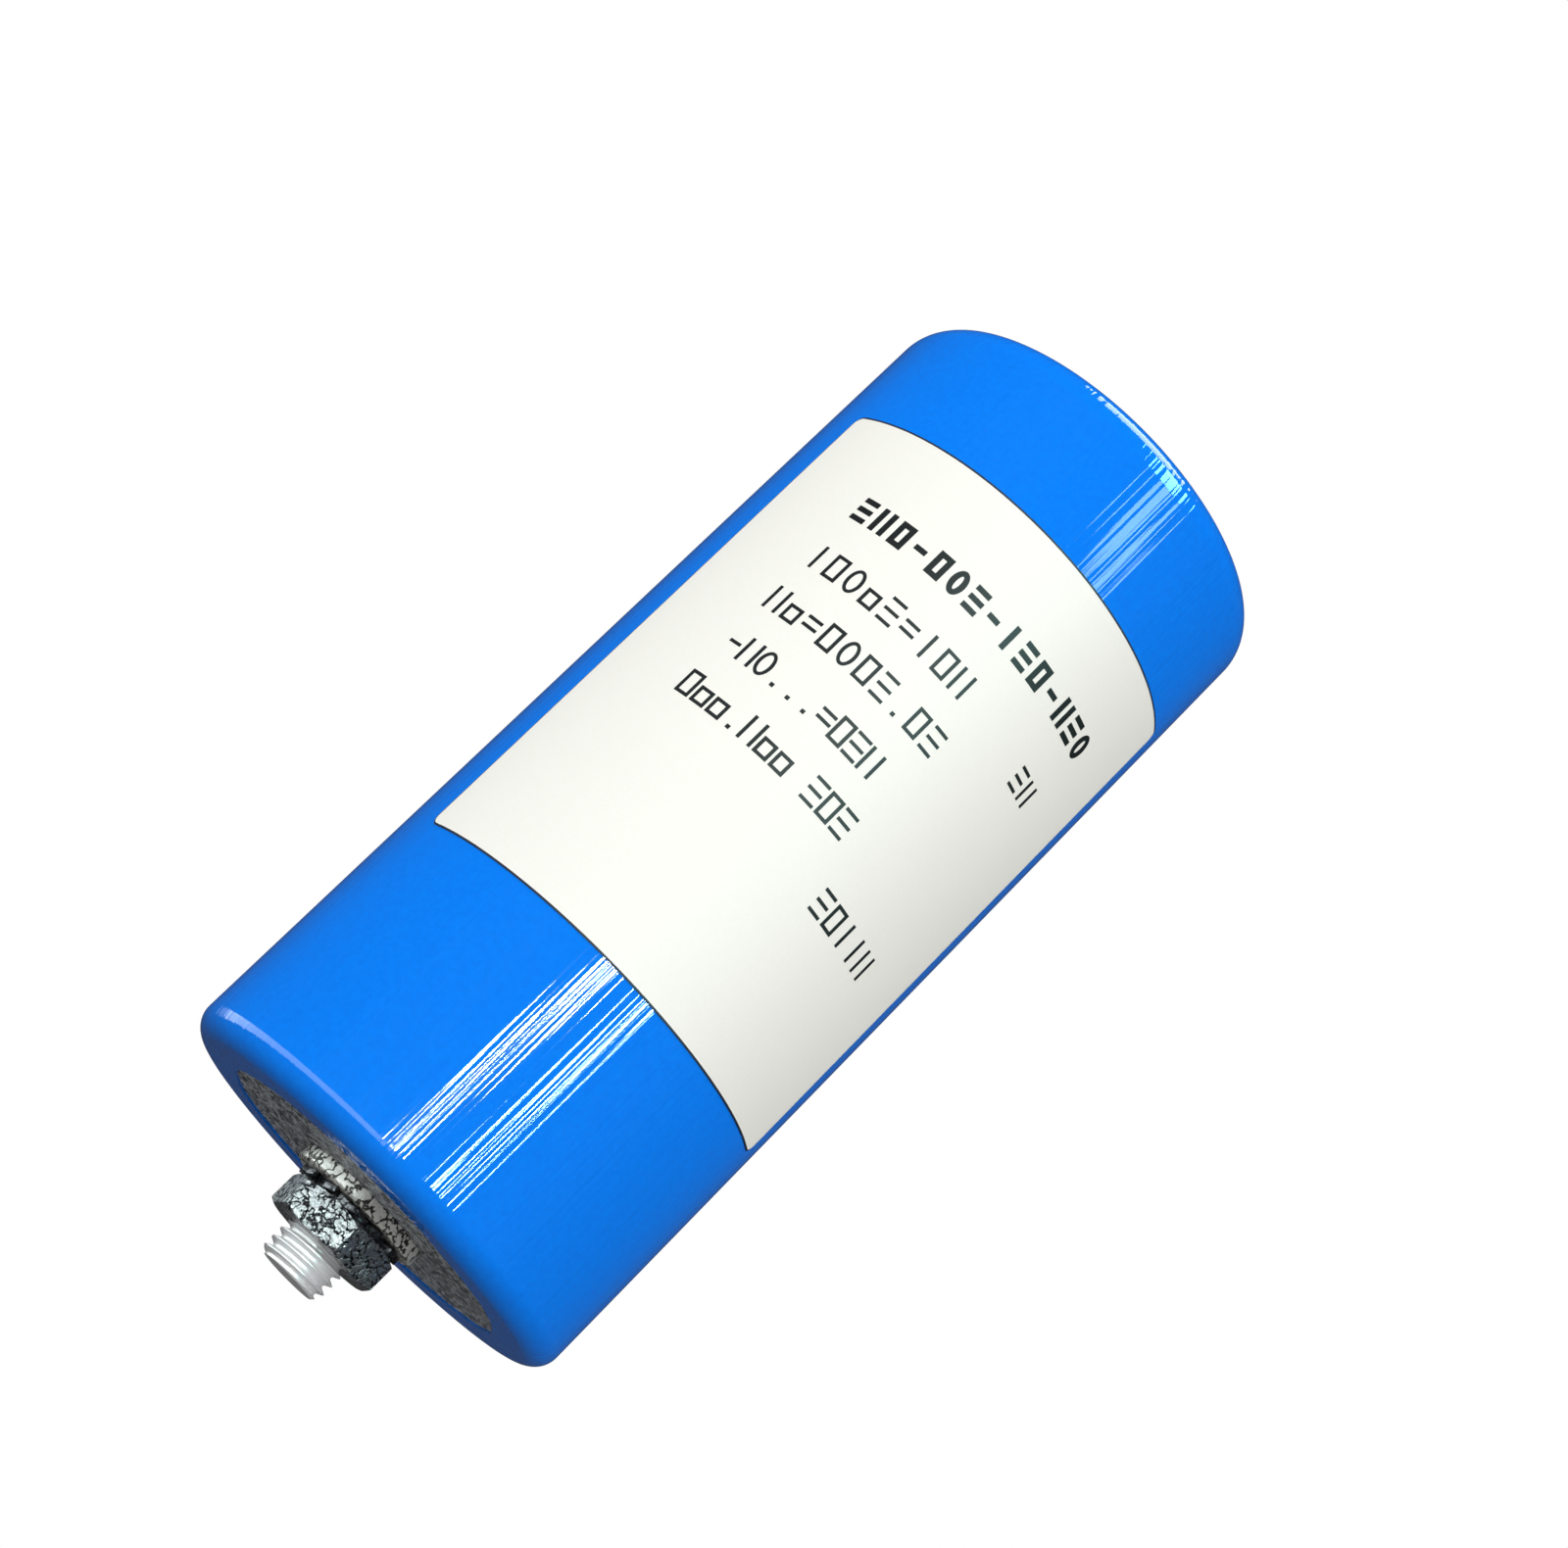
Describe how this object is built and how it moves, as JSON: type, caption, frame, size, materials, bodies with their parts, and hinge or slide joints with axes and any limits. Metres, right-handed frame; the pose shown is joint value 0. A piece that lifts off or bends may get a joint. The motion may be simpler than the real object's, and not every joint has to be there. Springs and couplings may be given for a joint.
{
  "type": "dc link capacitor",
  "caption": "Cylindrical DC link film capacitor in a sleeved aluminium can, clamped at its base stud, with threaded terminals on its lid.",
  "frame": {"origin": "centre of the base's seat, which is the ring of sleeve shrunk in over the base, on the stud's axis", "axes": "+Z along the can from the stud to the terminals, +X through the positive terminal, the label faces -Y"},
  "size_m": [0.076, 0.0761, 0.19],
  "materials": {
    "can_aluminium": "bare drawn aluminium, lightly speckled",
    "blue_sleeve": "blue heat-shrink sleeve, glossy",
    "label_paper": "white printed label, satin",
    "washer_steel": "zinc plated steel",
    "spring_steel": "darkened spring steel",
    "nut_steel": "zinc plated steel",
    "lid_plastic": "black moulded plastic, fine grain",
    "gasket_rubber": "black rubber",
    "terminal_brass": "tin plated brass",
    "pressboard": "pressboard",
    "core_plastic": "natural plastic tube",
    "metallised_film": "rolled metallised film",
    "sprayed_zinc": "sprayed zinc",
    "copper": "rolled copper",
    "potting_resin": "cast potting resin"
  },
  "bodies": {
    "root": {"can": "can_aluminium", "sleeve": "blue_sleeve", "label": "label_paper", "flat_washer": "washer_steel", "lock_washer": "spring_steel", "thin_nut": "nut_steel", "terminal_plate": "lid_plastic", "lid_gasket": "gasket_rubber", "positive_terminal": "terminal_brass", "negative_terminal": "terminal_brass", "base_insulator": "pressboard", "wall_insulator": "pressboard", "lower_core": "core_plastic", "upper_core": "core_plastic", "lower_winding": "metallised_film", "upper_winding": "metallised_film", "lower_bottom_spray": "sprayed_zinc", "lower_top_spray": "sprayed_zinc", "upper_bottom_spray": "sprayed_zinc", "upper_top_spray": "sprayed_zinc", "middle_plate": "copper", "positive_strip": "copper", "negative_strip": "copper", "resin": "potting_resin"}
  },
  "joints": []
}
